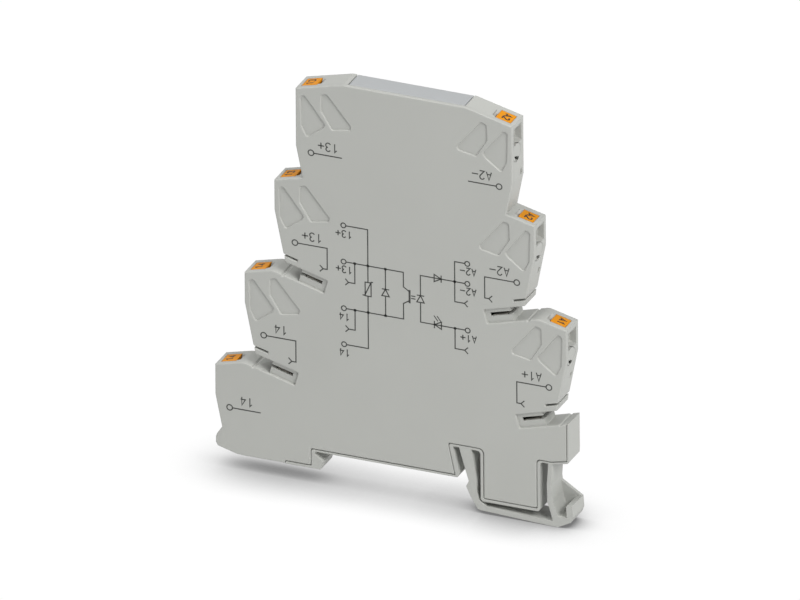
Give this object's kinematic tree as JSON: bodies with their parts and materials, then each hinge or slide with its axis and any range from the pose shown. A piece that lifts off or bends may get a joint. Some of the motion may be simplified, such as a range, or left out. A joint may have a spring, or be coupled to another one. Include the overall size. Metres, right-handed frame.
{
  "type": "solid state relay module",
  "caption": "Slim rail-mounted solid state relay module with stepped push-in terminals, bridge channels, a clear lamp cover and a springing rail foot.",
  "frame": {"origin": "middle of the seat that rests on the mounting rail, half way through the module's thickness", "axes": "+Z away from the rail, +X towards the springing foot, -Y out of the cover face"},
  "size_m": [0.0817, 0.0062, 0.0946],
  "materials": {
    "housing_plastic": "fine moulded satin",
    "clear_plastic": "clear moulded",
    "push_plastic": "moulded satin",
    "spring_steel": "rolled bright",
    "tinned_copper": "tin plated",
    "board_laminate": "solder mask",
    "package_black": "moulded epoxy",
    "capacitor_ceramic": "fired",
    "varistor_lacquer": "dipped lacquer",
    "lamp_lens": "moulded lens"
  },
  "bodies": {
    "module": {"housing": "housing_plastic", "side_cover": "housing_plastic", "clear_top_cover": "clear_plastic", "circuit_board": "board_laminate", "optocoupler": "package_black", "output_transistor": "package_black", "freewheel_diode": "package_black", "input_diode": "package_black", "filter_capacitor": "capacitor_ceramic", "varistor": "varistor_lacquer", "chip_resistors": "package_black", "status_lamp": "lamp_lens", "output_bar_plus": "tinned_copper", "output_bar_load": "tinned_copper", "input_bar_minus": "tinned_copper", "input_bar_plus": "tinned_copper", "clamp_spring_left_1": "spring_steel", "clamp_spring_left_2": "spring_steel", "clamp_spring_left_3": "spring_steel", "clamp_spring_left_4": "spring_steel", "clamp_spring_right_1": "spring_steel", "clamp_spring_right_2": "spring_steel", "clamp_spring_right_3": "spring_steel"},
    "button_left_1": {"push_button_left_1": "push_plastic"},
    "button_left_2": {"push_button_left_2": "push_plastic"},
    "button_left_3": {"push_button_left_3": "push_plastic"},
    "button_left_4": {"push_button_left_4": "push_plastic"},
    "button_right_1": {"push_button_right_1": "push_plastic"},
    "button_right_2": {"push_button_right_2": "push_plastic"},
    "button_right_3": {"push_button_right_3": "push_plastic"}
  },
  "joints": [
    {"name": "press_left_1", "type": "slide", "parent": "module", "child": "button_left_1", "axis": [0, 0, -1], "range_m": [0, 0.0012], "stiffness_N_per_m": 2000, "deforming": ["clamp_spring_left_1"]},
    {"name": "press_left_2", "type": "slide", "parent": "module", "child": "button_left_2", "axis": [0, 0, -1], "range_m": [0, 0.0012], "stiffness_N_per_m": 2000, "deforming": ["clamp_spring_left_2"]},
    {"name": "press_left_3", "type": "slide", "parent": "module", "child": "button_left_3", "axis": [0, 0, -1], "range_m": [0, 0.0012], "stiffness_N_per_m": 2000, "deforming": ["clamp_spring_left_3"]},
    {"name": "press_left_4", "type": "slide", "parent": "module", "child": "button_left_4", "axis": [0, 0, -1], "range_m": [0, 0.0012], "stiffness_N_per_m": 2000, "deforming": ["clamp_spring_left_4"]},
    {"name": "press_right_1", "type": "slide", "parent": "module", "child": "button_right_1", "axis": [0, 0, -1], "range_m": [0, 0.0012], "stiffness_N_per_m": 2000, "deforming": ["clamp_spring_right_1"]},
    {"name": "press_right_2", "type": "slide", "parent": "module", "child": "button_right_2", "axis": [0, 0, -1], "range_m": [0, 0.0012], "stiffness_N_per_m": 2000, "deforming": ["clamp_spring_right_2"]},
    {"name": "press_right_3", "type": "slide", "parent": "module", "child": "button_right_3", "axis": [0, 0, -1], "range_m": [0, 0.0012], "stiffness_N_per_m": 2000, "deforming": ["clamp_spring_right_3"]}
  ]
}
